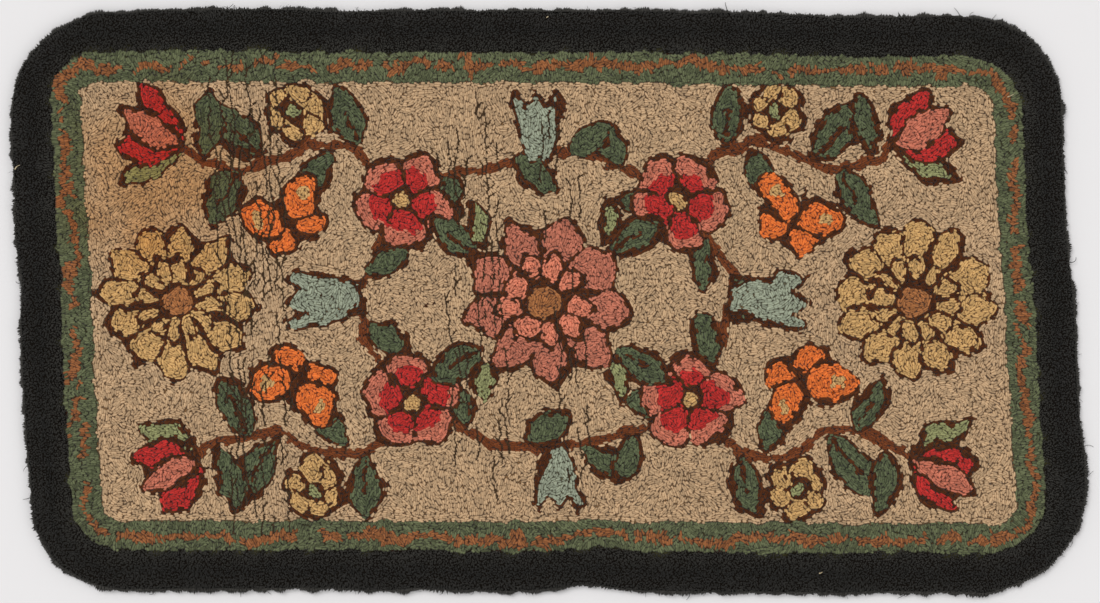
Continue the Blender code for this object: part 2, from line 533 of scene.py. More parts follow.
# A small disc, painted only in the cells near it
def stampDisc(spot, radius, yarn):
    reach = radius + 3 * (drawing["wobble"] + drawing["ragged"])
    plainX = spot.x - drawing["shift"] - drawing["lean"] * spot.y
    row, column = fine.cell(plainX, spot.y)
    span = int(reach / fine.step) + 2
    window = (slice(max(row - span, 0), row + span), slice(max(column - span, 0), column + span))
    near = np.hypot(drawnX[window] - spot.x, drawnY[window] - spot.y) < radius
    yarnMap[window][near] = yarnNumber[yarn]


def paintTulip(at, angle, length, side, middle):
    for lean in (tulip["lean"], -tulip["lean"]):
        paintLeaf(at, angle + lean, length, length * tulip["sideWidth"], side)
    paintLeaf(at, angle, length * tulip["middleLength"], length * tulip["middleWidth"], middle)


# A bell flower, narrow at its foot and scalloped at its mouth
def paintBell(at, angle, length, yarn):
    along, across = turned(at, angle)
    share = np.clip(along / length, 0, 1) ** bell["flare"]
    half = length * bell["half"] * (bell["foot"] + (1 - bell["foot"]) * share)
    scallop = np.abs((across / (length * bell["scallops"]) + 0.5) % 1 - 0.5) * 2
    mouth = length * (1 - bell["scallopDepth"] * scallop)
    line = outlineHere
    paint("darkBrown", (along > 0) & (along < mouth) & (np.abs(across) < half))
    paint(yarn, (along > line) & (along < mouth - line) & (np.abs(across) < half - line))


# Two hind wings, two front wings with a spot on each, and a body
def paintButterfly(at, angle, span):
    for side in (-1, 1):
        for wing in ("hindWing", "frontWing"):
            turn, length, width = butterfly[wing]
            wingAngle = angle + side * turn
            paintLeaf(at, wingAngle, span * length, span * width, "orange", butterfly["blunt"])
        reach, radius = (share * span for share in butterfly["spot"])
        spot = (at[0] + reach * math.cos(wingAngle), at[1] + reach * math.sin(wingAngle))
        paintDisc(spot, radius, "yellow")
    behind, length = (share * span for share in butterfly["body"])
    tail = (at[0] - behind * math.cos(angle), at[1] - behind * math.sin(angle))
    paintLeaf(tail, angle, length, butterfly["bodyWidth"], "darkBrown")


def paintWreath():
    (long, high), steps, leaves = wreath["reach"], wreath["steps"], wreath["leaves"]
    ringPoints = []
    for step in range(steps + 1):
        angle = 2 * math.pi * step / steps
        swing = 1 + wreath["swing"] * math.sin(wreath["waves"] * angle)
        ringPoints.append((long * swing * math.cos(angle), high * swing * math.sin(angle)))
    paintVine(ringPoints)
    for step in range(leaves):
        angle = 2 * math.pi * (step + 0.5) / leaves
        outwards = math.atan2(long * math.sin(angle), high * math.cos(angle))
        lean = wreath["leafLean"] if step % 2 else -wreath["leafLean"]
        inner = math.pi if step % 4 in (1, 2) else 0
        paintLeaf((long * math.cos(angle), high * math.sin(angle)), outwards + inner + lean, *wreath["leaf"])


# A quarter of the drawing, turned over for each of the four
def paintCorner(along, up):
    # The place, the angle and whatever follows of a figure in this quarter
    def placed(x, y, degrees, *sizes):
        angle = math.radians(degrees) * up
        if along < 0:
            angle = math.pi - angle
        return (along * x, up * y), angle, *sizes

    paintVine([(along * x, up * y) for x, y in corner["vine"]])
    for leaf in corner["leaves"]:
        paintLeaf(*placed(*leaf))
    paintLeaf(*placed(*corner["paleLeaf"]), "lightGreen")
    paintTulip(*placed(*corner["tulip"]), "red", "pink")
    paintFlower(*placed(*corner["blossom"]), flowers["blossom"])
    paintButterfly(*placed(*corner["butterfly"]))
    paintFlower(*placed(*corner["smallYellow"]), flowers["smallYellow"])


def paintDrawing():
    paintWreath()
    for along in (1, -1):
        for up in (1, -1):
            paintCorner(along, up)
        away, length = axes["sideBell"]
        paintBell((along * away, 0.0), 0 if along > 0 else math.pi, length, "greyBlue")
        away, turn = axes["bigFlower"]
        paintFlower((along * away, 0.0), turn, flowers["bigYellow"])
    for up in (1, -1):
        rise = up * math.pi / 2
        away, length = axes["upperBell"]
        paintBell((0.0, up * away), rise, length, "greyBlue")
        for along in (1, -1):
            for x, y, turn, length, width, yarn in axes["leaves"]:
                paintLeaf((along * x, up * y), rise - along * up * turn, length, width, yarn)
    paintFlower((0.0, 0.0), axes["middleTurn"], flowers["middle"])


paintDrawing()


# The band round the field: green, with a broken rust line along its middle

band = {
    "edge": 1.1 * mm,                    # how uneven its two sides are
    "edgePitches": (9 * mm, 10 * mm),
    "offset": 1.5 * mm,                  # the line lies this far outside the middle
    "sway": 3.2 * mm,
    "swayPitch": 24 * mm,
    "half": 5.2 * mm,
    "spread": 2.0 * mm,
    "spreadPitch": 7 * mm,
    "breaks": 1.15,
    "breakPitch": 14 * mm,
}
fineInset = coarse.read(insets, fine.x, fine.y)
borderRagged = band["edge"] * fine.unevenness(band["edgePitches"][0], 5)
borderInset = rugPlan["borderWidth"] + borderRagged
fieldInset = rugPlan["borderWidth"] + rugPlan["bandWidth"]
fieldInset = fieldInset + band["edge"] * fine.unevenness(band["edgePitches"][1], 6)
inBand = (fineInset > borderInset) & (fineInset <= fieldInset)
inField = fineInset > fieldInset
lineInset = rugPlan["borderWidth"] + rugPlan["bandWidth"] / 2 - band["offset"]
lineInset = lineInset + band["sway"] * fine.unevenness(band["swayPitch"], 7)
halfHere = band["half"] + band["spread"] * fine.unevenness(band["spreadPitch"], 8)
unbroken = fine.unevenness(band["breakPitch"], 9) < band["breaks"]
paint("bandGreen", inBand)
paint("bandRust", inBand & unbroken & (np.abs(fineInset - lineInset) < halfHere))
paint("none", ~(inBand | inField))
print("the drawing is painted on the foundation", flush=True)


# The way the hook went: rows that follow the drawing's lines, and wander in the ground

hooking = {
    "spacing": 2.1 * mm,
    "step": 0.9 * mm,
    "closest": 0.80,                     # rows come this near, as a share of the spacing
    "longestRow": 44,
    "seeds": {"band": 120, "field": 200},
    "besideEvery": 3,
    "besideSpread": (0.97, 1.06),
    # Short rows in the gaps that are left: seeds for each cell, the room that one needs, how near it
    # comes to others, and its length
    "filling": {"seeds": 0.40, "room": 0.76, "closest": 0.66, "longest": 10},
    "wanderPitch": 12 * mm,
    "wander": {"field": 0.5, "band": 0.7},
    "bandSmoothing": 4 * mm,
    "bandOutside": 2 * mm,               # how far under the border the band's way of hooking starts
    # From which share of the edge's slope along x to which the pull across the band grows, and from
    # which strength to which
    "acrossBand": (0.3, 0.8, 0.25, 1.0),
    "follow": 90.0,                      # how strongly the rows run along the edge between two yarns
    "softness": 2.6 * mm,
    "pooling": 2.4 * mm,
    "loopLength": (3.9 * mm, 7.2 * mm),
    "loopJitter": 0.22,
    "shortest": 3.0 * mm,
}

# Where rolling the rug has opened the rows
cracks = [
    {"x": -0.340, "gap": 8 * mm, "count": 10, "spread": 0.042, "reach": 0.54, "lean": -0.055, "share": 0.56},
    {"x": -0.085, "gap": 9 * mm, "count": 8, "spread": 0.036, "reach": 0.46, "lean": -0.05, "share": 0.34},
    {"x": 0.020, "gap": 10 * mm, "count": 5, "spread": 0.024, "reach": 0.42, "lean": -0.05, "share": 0.28},
]
crackOpening = {
    "length": (14 * mm, 55 * mm),
    "rest": (2, 9),                      # mm from one opening to the next
    "kink": (3.5 * mm, 8 * mm),          # from one bend of an opening to the next
    "crook": 1.8 * mm,
    "step": 0.4 * mm,                    # from one point of an opening to the next
    "drift": (6 * mm, 0.050),            # its slow sway, and the pitch of that
    "favour": (0.9, 1.25),               # openings are rarer in the near half of the rug than in the far one
    "branches": 0.24,
    "branchRise": (5, 12),               # mm
    "branchReach": (0.5, 1.0),
    "pull": 1.1,                         # how strongly the rows near a crack run along it
    "slim": 0.22,                        # how near the rows come to an opening, as a share of their area
    "half": 0.36 * mm,
    "blur": 0.5 * mm,
    "clips": (1.0, 0.85, 0.7, 0.55, 0.4, 0.25, 0.15),
    "depth": 2.6 * mm,
    "floor": (2.0 * mm, 1.7 * mm, 0.8 * mm),    # the dark strip of painted shade under it: its drop, half width and depth
    "floorStep": 6,
    "borderGap": 2.5 * mm,
}
openingRow = -7     # a number that no row of hooking has


# The rows' angle over the coarse raster, from the cosine and the sine of twice that angle
def rowAngles():
    wander = [coarse.unevenness(hooking["wanderPitch"], layer) for layer in (11, 12)]
    cos2, sin2 = (wave * hooking["wander"]["field"] for wave in wander)
    pooled = yarnMap[::2, ::2]
    squares = [np.zeros(coarse.shape) for _ in range(3)]
    for number in range(1, len(yarnNames)):
        soft = coarse.blurred((pooled == number).astype(float), hooking["softness"])
        down, across = np.gradient(soft)
        squares[0] += across * across
        squares[1] += down * down
        squares[2] += across * down
    squares = [coarse.blurred(square, hooking["pooling"]) for square in squares]
    # The rows run across the steepest change of yarn
    cos2 -= hooking["follow"] * (squares[0] - squares[1])
    sin2 -= hooking["follow"] * 2 * squares[2]
    for crack in cracks:
        near = coarse.x - crack["x"] - crack["lean"] * coarse.y
        cos2 -= crackOpening["pull"] * np.exp(-((near / crack["spread"]) ** 2))
    # In the band they run across it, most of all at the rug's two ends
    across, down, steep = coarse.slopes(insets, hooking["bandSmoothing"])
    outer = rugPlan["borderWidth"] - hooking["bandOutside"]
    inner = rugPlan["borderWidth"] + rugPlan["bandWidth"]
    inside = (insets > outer) & (insets < inner)
    sideways = between(np.abs(across) / steep, *hooking["acrossBand"])
    sway = hooking["wander"]["band"]
    cos2 = np.where(inside, wander[0] * sway + sideways * (across**2 - down**2) / steep**2, cos2)
    sin2 = np.where(inside, wander[1] * sway + sideways * 2 * across * down / steep**2, sin2)
    return np.arctan2(sin2, cos2) / 2


# Rows of hooking that keep their distance from each other
class Rows:
    def __init__(self, allowed, angles):
        self.allowed = allowed
        self.angles = angles
        self.cells = {}
        self.rows = []
        self.size = hooking["spacing"]

    # Whether a place is clear of all other rows, and of its own row but for the nearest steps
    def free(self, x, y, near, row=-1, index=0, ownSteps=5):
        column, line = int(x // self.size), int(y // self.size)
        near2 = near * near
        cells = self.cells
        for key in [(column + right, line + up) for right in (-1, 0, 1) for up in (-1, 0, 1)]:
            for otherX, otherY, otherRow, otherIndex, slim in cells.get(key, ()):
                if otherRow == row and abs(index - otherIndex) < ownSteps:
                    continue
                if (otherX - x) ** 2 + (otherY - y) ** 2 < near2 * slim:
                    return False
        return True

    def hold(self, x, y, row, index, slim=1.0):
        key = (int(x // self.size), int(y // self.size))
        self.cells.setdefault(key, []).append((x, y, row, index, slim))

    def within(self, x, y):
        return self.allowed[fine.cell(x, y)]

    def angle(self, x, y):
        return self.angles[coarse.cell(x, y)]

    # A row from this place both ways, or None if there is no room
    def grow(self, x, y, closest, longest):
        if not self.within(x, y) or not self.free(x, y, closest):
            return None
        number = len(self.rows)
        halves = []
        for way in (1, -1):
            points = []
            atX, atY = x, y
            angle = self.angle(x, y)
            headX, headY = way * math.cos(angle), way * math.sin(angle)
            for index in range(1, longest // 2):
                angle = self.angle(atX, atY)
                goX, goY = math.cos(angle), math.sin(angle)
                if goX * headX + goY * headY < 0:
                    goX, goY = -goX, -goY
                headX, headY = headX * 0.5 + goX * 0.5, headY * 0.5 + goY * 0.5
                length = math.hypot(headX, headY)
                headX, headY = headX / length, headY / length
                atX += headX * hooking["step"]
                atY += headY * hooking["step"]
                place = way * index
                if not self.within(atX, atY) or not self.free(atX, atY, closest, number, place):
                    break
                points.append((atX, atY))
                self.hold(atX, atY, number, place)
            halves.append(points)
        self.hold(x, y, number, 0)
        points = halves[1][::-1] + [(x, y)] + halves[0]
        self.rows.append(points)
        return points

    # Rows beside rows, from the first seeds outwards
    def fill(self, seeds):
        spacing = hooking["spacing"]
        waiting = list(seeds)
        while waiting:
            x, y = waiting.pop()
            longest = dice.randint(hooking["longestRow"] // 3, hooking["longestRow"])
            points = self.grow(x, y, spacing * hooking["closest"], longest)
            if not points or len(points) < 3:
                continue
            beside = []
            for index in range(1, len(points) - 1, hooking["besideEvery"]):
                (x0, y0), (x1, y1) = points[index - 1], points[index + 1]
                length = math.hypot(x1 - x0, y1 - y0) or 1.0
                acrossX, acrossY = (y0 - y1) / length, (x1 - x0) / length
                for way in (1, -1):
                    reach = way * spacing * dice.uniform(*hooking["besideSpread"])
                    beside.append((points[index][0] + acrossX * reach, points[index][1] + acrossY * reach))
            dice.shuffle(beside)
            waiting += beside


def crookedLine(ys, xs):
    steps = np.arange(ys[0], ys[-1], crackOpening["step"])
    return np.stack([np.interp(steps, ys, xs), steps], 1)


# A long crooked opening between the rows and the short ones that branch off it, as lines of points
def branchedOpening(crack, x, start, length, drift):
    opening = crackOpening
    sway, swayPitch = opening["drift"]
    knots = [start]
    while knots[-1] < start + length:
        knots.append(knots[-1] + dice.uniform(*opening["kink"]))
    bends = [
        x + crack["lean"] * knot + sway * noise.noise((drift, knot / swayPitch, 0.5))
        + dice.uniform(-1, 1) * opening["crook"]
        for knot in knots
    ]
    lines = [crookedLine(knots, bends)]
    for knot, bend in zip(knots, bends):
        if dice.random() < opening["branches"]:
            side = dice.choice((-1, 1)) * dice.uniform(*opening["branchReach"]) * crack["gap"]
            rise = dice.uniform(*opening["branchRise"]) * mm
            lines.append(crookedLine([knot, knot + rise], [bend, bend + side]))
    return lines


# The openings of every crack, one after another up the rug in each of its lines
def crackLines():
    lines = []
    for crack in cracks:
        for number in range(crack["count"]):
            x = crack["x"] + crack["gap"] * (number - (crack["count"] - 1) / 2)
            drift = dice.uniform(0, 99)
            start = -crack["reach"] / 2
            while start < crack["reach"] / 2:
                length = dice.uniform(*crackOpening["length"])
                if dice.random() < crack["share"] * crackOpening["favour"][start > 0]:
                    lines += branchedOpening(crack, x, start, length, drift)
                start += length + dice.uniform(*crackOpening["rest"]) * mm
    return lines


def seedPlaces(allowed, count):
    inside = np.argwhere(allowed)
    picked = inside[chance.choice(len(inside), count, replace=False)]
    return [(fine.low[0] + (column + 0.5) * fine.step, fine.low[1] + (row + 0.5) * fine.step)
            for row, column in picked]


def hookedRows():
    rows = Rows(inField | inBand, rowAngles())
    filling, spacing = hooking["filling"], hooking["spacing"]
    for line in openings:
        for step, (x, y) in enumerate(line[::2]):
            rows.hold(x, y, openingRow, step, slim=crackOpening["slim"])
    for allowed, seeds in ((inBand, hooking["seeds"]["band"]), (inField, hooking["seeds"]["field"])):
        rows.allowed = allowed
        rows.fill(seedPlaces(allowed, seeds))
        for x, y in seedPlaces(allowed, int(allowed.sum() * filling["seeds"])):
            if rows.free(x, y, spacing * filling["room"]):
                rows.grow(x, y, spacing * filling["closest"], filling["longest"])
    return rows.rows


# True along the openings, and False elsewhere
def openedPicture():
    picture = np.zeros(finest.shape)
    for line in openings:
        picture[finest.cells(line)] = 1
    blur = crackOpening["blur"]
    # A line one cell wide, blurred, peaks at this height, and falls to the limit at half its width
    peak = finest.step / (blur * math.sqrt(2 * math.pi))
    limit = peak * math.exp(-0.5 * (crackOpening["half"] / blur) ** 2)
    return finest.blurred(picture, blur) > limit


openings = crackLines()
opened = openedPicture()
rows = hookedRows()
print(len(rows), "rows are drawn", flush=True)


# One hooked loop, modelled once: a three-sided bead with its ridge on top and its axis along x

def loopPattern():
    deselect()
    bpy.ops.mesh.primitive_cylinder_add(vertices=3, radius=1.0, depth=1.0, end_fill_type="TRIFAN")
    bead = bpy.context.object
    bpy.ops.object.mode_set(mode="EDIT")
    bpy.ops.mesh.select_all(action="SELECT")
    for axis in "YX":
        bpy.ops.transform.rotate(value=math.pi / 2, orient_axis=axis, center_override=(0, 0, 0))
    bpy.ops.mesh.normals_make_consistent(inside=False)
    bpy.ops.object.mode_set(mode="OBJECT")
    points, quads, triangles = takenApart(bead, (4, 3))
    if points[:, 2].max() < 0.99:
        points[:, 1:] *= -1     # the ridge belongs on top
    return points, quads, triangles


# Four places along each loop: its tip, its two shoulders and its other tip
def cutLoops(rows):
    low, high = hooking["loopLength"]
    shortest = hooking["shortest"]
    found = []
    for points in rows:
        places = np.array(points)
        if len(places) == 1:
            places = places + np.array([[-0.5 * mm, 0], [0.5 * mm, 0]])
        steps = np.hypot(*np.diff(places, axis=0).T)
        run = np.concatenate([[0], np.cumsum(steps)])
        total = run[-1]
        parts = max(1, round(total / dice.uniform(low, high)))
        cuts = np.linspace(0, total, parts + 1)
        jitter = total / parts * hooking["loopJitter"]
        cuts[1:-1] += [dice.uniform(-jitter, jitter) for _ in cuts[1:-1]]
        for start, end in zip(cuts, cuts[1:]):
            if end - start < shortest:
                middle = (start + end) / 2
                start, end = middle - shortest / 2, middle + shortest / 2
            at = start + (end - start) * np.array(loopShape["places"])
            loop = np.stack([np.interp(at, run, places[:, axis]) for axis in range(2)], 1)
            # A loop longer than its row goes straight on past the row's ends
            for past, edge, near in ((at - total, -1, -2), (-at, 0, 1)):
                over = np.maximum(past, 0)
                span = np.hypot(*(places[edge] - places[near])) or 1.0
                loop = loop + over[:, None] * (places[edge] - places[near]) / span
            found.append(loop)
    return np.array(found)


# A unit vector across each loop
def acrossLoops(lines):
    heading = lines[:, 3] - lines[:, 0]
    heading /= np.maximum(np.linalg.norm(heading, axis=1, keepdims=True), 1e-9)
    return np.stack([-heading[:, 1], heading[:, 0]], 1)[:, None]


# The loops turned and bowed a little
def unsettled(lines):
    across = acrossLoops(lines)
    for kind, shares in (("bow", (-0.7, 0.5, 0.5, -0.7)), ("turn", (-1.0, -0.5, 0.5, 1.0))):
        shares = np.array(shares)[None, :, None]
        lines = lines + across * shares * loopShape[kind] * chance.normal(size=(len(lines), 1, 1))
    return lines


loopShape = {
    "places": (-0.13, 0.14, 0.86, 1.13),     # along a loop: it overlaps the next one a little
    "width": 4.6 * mm,                       # at its foot, so that neighbours press together
    "foot": 1.9 * mm,                        # how far its foot and its tips lie under its ridge
    "tip": 0.9 * mm,
    "bow": 0.35 * mm,
    "turn": 0.50 * mm,
    "heightSpread": 0.24 * mm,
    "roll": 0.15,
    "widthSpread": 0.10,
    "tipLowness": 0.66,                      # how dark the painted shade makes its tips, where the foot is 1 and the ridge 0
}
mostLoops = 14000       # in one piece
loopLines = unsettled(cutLoops(rows))
loopYarns = yarnMap[fine.cells((loopLines[:, 1] + loopLines[:, 2]) / 2)]
print(len(loopLines), "loops are cut", flush=True)
beadPoints, beadQuads, beadTriangles = loopPattern()


# All the loops of one yarn as one mesh
def buildLoops(name, lines):
    count = len(lines)
    isTip = np.hypot(beadPoints[:, 1], beadPoints[:, 2]) < 0.1
    isFoot = ~isTip & (beadPoints[:, 2] < 0)
    place = np.where(beadPoints[:, 0] < 0, np.where(isTip, 0, 1), np.where(isTip, 3, 2))
    side = np.sign(np.round(beadPoints[:, 1], 3)) * isFoot
    drop = np.where(isFoot, loopShape["foot"], 0) + np.where(isTip, loopShape["tip"], 0)
    centres = lines[:, place]
    across = acrossLoops(lines)
    width = loopShape["width"] / 2 * (1 + loopShape["widthSpread"] * chance.normal(size=(count, 1)))
    offset = width * side
    # A loop beside an opening ends there, in a steep side that falls into the opening; the wool darkens that
    # side with painted shade
    reach = np.ones_like(offset)
    for share in crackOpening["clips"]:
        spots = centres + across * (offset * share)[..., None]
        reach = np.where(opened[finest.cells(spots)], share, reach)
    gaping = (reach < 1) & isFoot
    offset = np.where(gaping, offset * reach, offset)
    places = centres + across * offset[..., None]
    tall = coarse.read(tops, places[..., 0], places[..., 1])
    tall = tall.mean(axis=1, keepdims=True) * 0.5 + tall * 0.5
    tall = tall + loopShape["heightSpread"] * chance.normal(size=(count, 1))
    roll = loopShape["roll"] * chance.normal(size=(count, 1))
    height = np.where(gaping, tall - crackOpening["depth"], tall - drop + roll * offset)
    firsts = (np.arange(count) * len(beadPoints))[:, None, None]
    # How low each point of a loop lies, which the wool reads to paint shade on its sides and tips
    lowness = np.where(isFoot, 1.0, np.where(isTip, loopShape["tipLowness"], 0.0))
    return buildPiece(
        name,
        np.concatenate([places, height[..., None]], 2).reshape(-1, 3),
        [(beadQuads[None] + firsts).reshape(-1, 4), (beadTriangles[None] + firsts).reshape(-1, 3)],
        tone=np.repeat(chance.random(count), len(beadPoints)),
        lowness=np.tile(lowness, count),
        opened=gaping.ravel(),
    )


# A finish under way, with short ways to add the nodes that the rug's materials use

class Finish:
    def __init__(self, name, roughness, shine, sheen=None):
        self.material = bpy.data.materials.new(name)
        self.material.use_nodes = True
        self.nodes = self.material.node_tree.nodes
        self.shader = self.nodes["Principled BSDF"].inputs
        self.feed(self.shader["Roughness"], roughness)
        self.feed(self.shader["Specular IOR Level"], shine)
        if sheen:
            self.feed(self.shader["Sheen Weight"], sheen[0])
            self.feed(self.shader["Sheen Roughness"], sheen[1])
        self.places = self.add("TexCoord")["Object"]

    # Links another node's output to a socket, or sets the socket to a plain value
    def feed(self, socket, value):
        if isinstance(value, bpy.types.NodeSocket):
            self.material.node_tree.links.new(value, socket)
        else:
            socket.default_value = value

    # A new node with these settings and inputs. What comes back is its outputs
    def add(self, kind, inputs=(), **settings):
        node = self.nodes.new("ShaderNode" + kind)
        for name, value in settings.items():
            setattr(node, name, value)
        for socket, value in dict(inputs).items():
            self.feed(node.inputs[socket], value)
        return node.outputs

    def noise(self, pitch, detail):
        return self.add("TexNoise", {"Vector": self.places, "Scale": 1 / pitch, "Detail": detail})["Fac"]

    def value(self, name):
        return self.add("Attribute", attribute_name=name)["Fac"]

    def math(self, operation, *values):
        return self.add("Math", enumerate(values), operation=operation)["Value"]

    def mix(self, kind, share, first, second):
        inputs = {"Factor": share, "A": first, "B": second}
        return self.add("Mix", inputs, data_type="RGBA", blend_type=kind)["Result"]

    def ramp(self, value, stops):
        node = self.nodes.new("ShaderNodeValToRGB")
        elements = node.color_ramp.elements
        while len(elements) < len(stops):
            elements.new(0.5)
        for element, (place, colour) in zip(elements, stops):
            element.position = place
            element.color = (*colour, 1)
        self.feed(node.inputs["Fac"], value)
        return node.outputs["Color"]

    def colour(self, value):
        self.feed(self.shader["Base Color"], value)

    def bump(self, height, strength, distance):
        inputs = {"Strength": strength, "Distance": distance, "Height": height}
        self.feed(self.shader["Normal"], self.add("Bump", inputs)["Normal"])


# Wool, in each of the rug's colours

# sRGB of each yarn, before the painted shade between the loops
yarns = {
    "tan": (193, 162, 126),
    "yellow": (203, 163, 106),
    "gold": (168, 110, 66),
    "darkBrown": (80, 42, 18),
    "vineBrown": (116, 62, 32),
    "red": (188, 50, 46),
    "pink": (200, 118, 94),
    "salmon": (216, 130, 102),
    "mauve": (190, 116, 93),
    "lightGreen": (146, 148, 102),
    "greyBlue": (153, 160, 139),
    "leafGreen": (90, 98, 70),
    "orange": (226, 118, 54),
    "bandGreen": (97, 103, 74),
    "bandRust": (146, 93, 56),
}
# The darkest and palest loops of one yarn, as shares of its colour
toneSpread = (0.78, 1.27)
toneSpreads = {
    "leafGreen": (0.62, 1.36),
    "bandGreen": (0.62, 1.36),
    "bandRust": (0.68, 1.34),
    "darkBrown": (0.62, 1.40),
}
# From where to where each value darkens a loop with painted shade, and by how much at the end
paintedShades = {
    "lowness": (0.24, 0.85, (0.50, 0.42, 0.33)),
    # painted shade on the sides of loops that fall into an opening
    "opened": (0.45, 0.90, (0.25, 0.18, 0.12)),
}
# A warm stain near the far left corner
stain = {
    "at": (-0.452, 0.136),
    "reach": 0.165,
    "softness": 0.07,
    "ragged": (0.16, 60 * mm),          # how much, and the pitch
    "tint": (0.86, 0.62, 0.36),
    "strength": 0.72,
}


# How much of the stain shows at each place
def stainShare(wool):
    split = wool.add("SeparateXYZ", {"Vector": wool.places})
    awayX = wool.math("SUBTRACT", split["X"], stain["at"][0])
    awayY = wool.math("SUBTRACT", split["Y"], stain["at"][1])
    away = wool.math("MULTIPLY", awayX, awayX)
    away = wool.math("SQRT", wool.math("MULTIPLY_ADD", awayY, awayY, away))
    ragged, pitch = stain["ragged"]
    away = wool.math("MULTIPLY_ADD", wool.noise(pitch, 4.0), ragged, away)
    inputs = {
        "Value": away,
        "From Min": stain["reach"] + stain["softness"],
        "From Max": stain["reach"] - stain["softness"],
        "To Max": stain["strength"],
    }
    return wool.add("MapRange", inputs, interpolation_type="SMOOTHSTEP")["Result"]


def woolMaterial(name):
    wool = Finish(name + "Wool", roughness=0.92, shine=0.12, sheen=(0.10, 0.5))
    middle = linear(yarns[name])
    deep, bright = (tuple(part * share for part in middle) for share in toneSpreads.get(name, toneSpread))
    # Each loop takes its own shade, within a slow drift of the dye
    fibre = wool.noise(0.9 * mm, 4.0)
    lift = wool.math("MULTIPLY_ADD", wool.noise(45 * mm, 2.0), 0.5, -0.25)
    lift = wool.math("ADD", lift, wool.value("tone"))
    lift = wool.math("MULTIPLY_ADD", fibre, 0.5, lift)
    lift = wool.math("SUBTRACT", lift, 0.25)
    colour = wool.ramp(lift, [(0.0, deep), (0.5, middle), (1.0, bright)])
    # The sides and ends of a loop, down between its neighbours, are darkened: painted shade where the
    # neighbours shadow them, and some dirt
    for label, (start, end, deepest) in paintedShades.items():
        shade = wool.ramp(wool.value(label), [(start, (1, 1, 1)), (end, deepest)])
        colour = wool.mix("MULTIPLY", 1.0, colour, shade)
    wool.colour(wool.mix("MULTIPLY", stainShare(wool), colour, (*stain["tint"], 1)))
    wool.bump(fibre, 0.5, 0.5 * mm)
    return wool.material


def finishPiece(piece, material):
    piece.data.materials.clear()
    piece.data.materials.append(material)
    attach(piece, "root")
    return piece


pieces = []
for name in yarnNames[1:]:
    picked = np.flatnonzero(loopYarns == yarnNumber[name])
    if not len(picked):
        continue
    picked = picked[np.argsort(loopLines[picked, 2, 0], kind="stable")]
    material = woolMaterial(name)
    parts = math.ceil(len(picked) / mostLoops)
    for number, part in enumerate(np.array_split(picked, parts)):
        title = name if parts == 1 else f"{name}_{number + 1}"
        pieces.append(finishPiece(buildLoops(f"loops_{title}", loopLines[part]), material))
loopFaces = sum(len(piece.data.polygons) for piece in pieces)
print(loopFaces, "faces of loops in", len(pieces), "pieces", flush=True)


# The foundation cloth under the loops, which carries the rug's outline and its underside

foundation = {
    "rimInset": 2.6 * mm,
    # how far in from the rim, and how high, from the underside to the top
    "rim": [(4 * mm, 0.0), (0.8 * mm, 1.8 * mm), (0.0, 5.0 * mm), (1.2 * mm, 7.0 * mm)],
    "overRim": 4 * mm,
    "firstRing": 7 * mm,
    "ringStep": 7.5 * mm,
    "lastRing": 0.322,
    "loopDrop": 2.3 * mm,
    "pileDrop": 2.4 * mm,
    "lowestTop": 3 * mm,
    "underPile": (0.016, 0.015, 0.014),
}


# Rings from the middle of the underside out to the rim, and back over the top
def buildFoundation():
    cloth = foundation
    edge = cloth["rimInset"]
    insetSteps = list(np.arange(edge + cloth["firstRing"], cloth["lastRing"], cloth["ringStep"]))
    under = [(inset, 0.0) for inset in insetSteps[::-1]]
    rim = [(edge + inwards, height) for inwards, height in cloth["rim"]]
    over = [(inset, None) for inset in [edge + cloth["overRim"]] + insetSteps]
    points, yarnHere = [], []
    for inset, height in under + rim + over:
        ring = planRing(inset) + planShift
        x, y = ring[:, 0], ring[:, 1]
        if height is None:
            drop = cloth["pileDrop"] if inset < rugPlan["borderWidth"] else cloth["loopDrop"]
            z = np.maximum(coarse.read(tops, x, y) - drop, cloth["lowestTop"])
        else:
            z = np.full(len(x), height)
        points.append(np.stack([x, y, z], 1))
        yarnHere.append(yarnMap[fine.cells(ring)])
    rings, count = len(points), len(points[0])
    points = np.concatenate(points)
    number = np.arange(count)
    after = (number + 1) % count
    quads = [
        np.stack([ring * count + number, ring * count + after,
                  (ring + 1) * count + after, (ring + 1) * count + number], 1)
        for ring in range(rings - 1)
    ]
    last = number + (rings - 1) * count
    faces = [np.concatenate(quads), number[None, ::-1], last[None]]
    shape = shapeFromArrays("foundation_cloth", points, faces)
    deselect()
    shape.select_set(True)
    bpy.context.view_layer.objects.active = shape
    bpy.ops.object.mode_set(mode="EDIT")
    bpy.ops.mesh.select_all(action="SELECT")
    bpy.ops.mesh.normals_make_consistent(inside=False)
    bpy.ops.object.mode_set(mode="OBJECT")
    colours = np.array([cloth["underPile"]] + [linear(yarns[name]) for name in yarnNames[1:]])
    picked = colours[np.concatenate(yarnHere)]
    kept = shape.data.attributes.new("yarn", "FLOAT_COLOR", "POINT")
    kept.data.foreach_set("color", np.column_stack([picked, np.ones(len(picked))]).astype(np.float32).ravel())
    return shape


# The faces of a three-sided strip, closed at both ends
def addStrip(faces, first, count):
    for step in range(count - 1):
        low, high = first + step * 3, first + step * 3 + 3
        for side in range(3):
            after = (side + 1) % 3
            faces.append((low + side, low + after, high + after))
            faces.append((low + side, high + after, high + side))
    end = first + (count - 1) * 3
    faces.append((first, first + 2, first + 1))
    faces.append((end, end + 1, end + 2))
